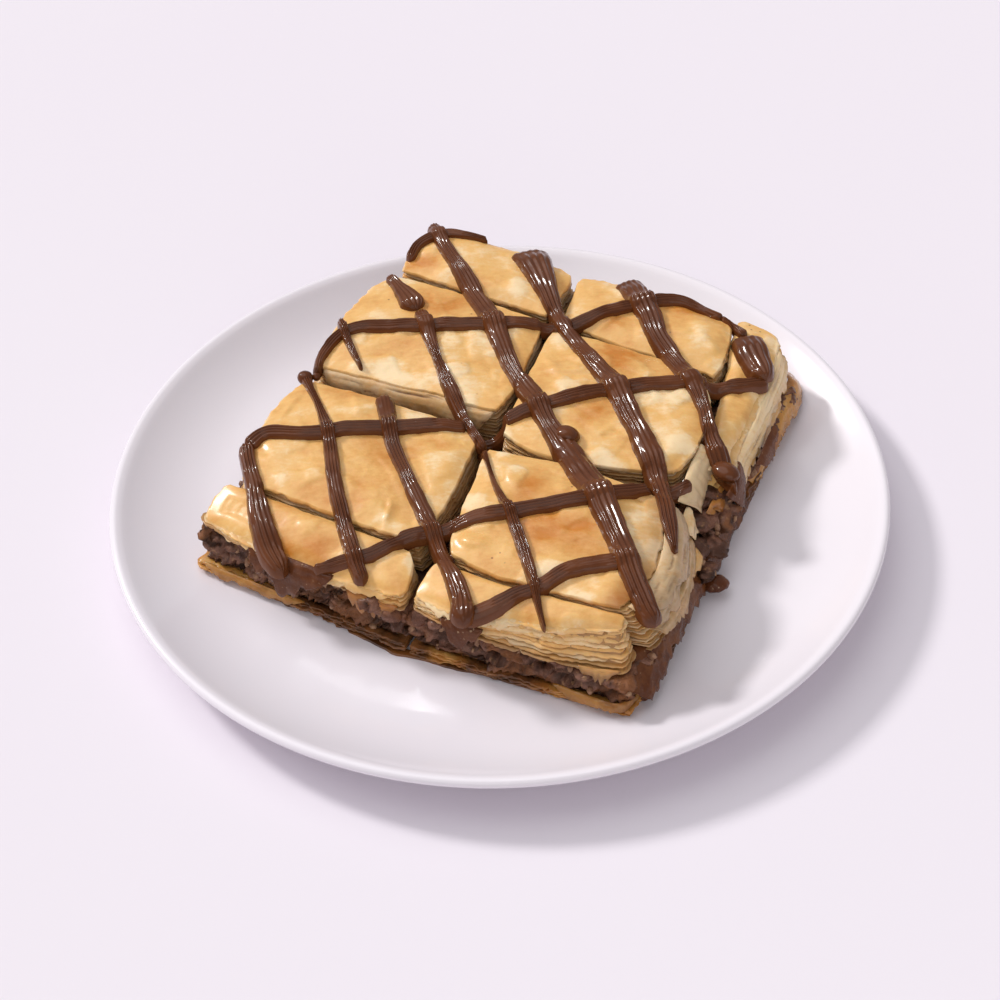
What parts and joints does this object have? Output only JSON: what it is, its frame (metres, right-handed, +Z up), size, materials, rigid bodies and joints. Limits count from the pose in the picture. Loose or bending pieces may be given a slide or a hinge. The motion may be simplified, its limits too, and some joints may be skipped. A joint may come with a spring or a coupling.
{
  "type": "plate of chocolate baklava",
  "caption": "Square slab of chocolate baklava, scored and cut into diamonds, drizzled with chocolate, served on a round white coupe plate.",
  "frame": {"origin": "middle of the plate's foot, on the surface that the plate stands on", "axes": "+Z up, +X to the picture's right, +Y away from the viewer"},
  "size_m": [0.23, 0.23, 0.0394],
  "materials": {
    "plate": "glossy white glaze",
    "baked_leaves": "thin baked pastry leaves, buttered, cream to golden",
    "soaked_base": "pastry leaves soaked in syrup, amber",
    "nut_filling": "crumbly chopped nuts bound with chocolate",
    "chocolate": "soft milk chocolate drizzle, satin gloss",
    "syrup": "thin clear amber syrup"
  },
  "bodies": {
    "root": {"plate": "plate", "base_back_left": "soaked_base", "base_back_right": "soaked_base", "base_front_right": "soaked_base", "base_front_left": "soaked_base", "filling_back_left": "nut_filling", "filling_back_right": "nut_filling", "filling_front_right": "nut_filling", "filling_front_left": "nut_filling", "top_back_left_rear": "baked_leaves", "top_back_left_front": "baked_leaves", "top_front_left_rear": "baked_leaves", "top_front_left_edge": "baked_leaves", "top_back_right_rear": "baked_leaves", "top_back_right_front": "baked_leaves", "top_back_right_side": "baked_leaves", "top_front_right_rear": "baked_leaves", "top_front_right_edge": "baked_leaves"}
  },
  "joints": []
}
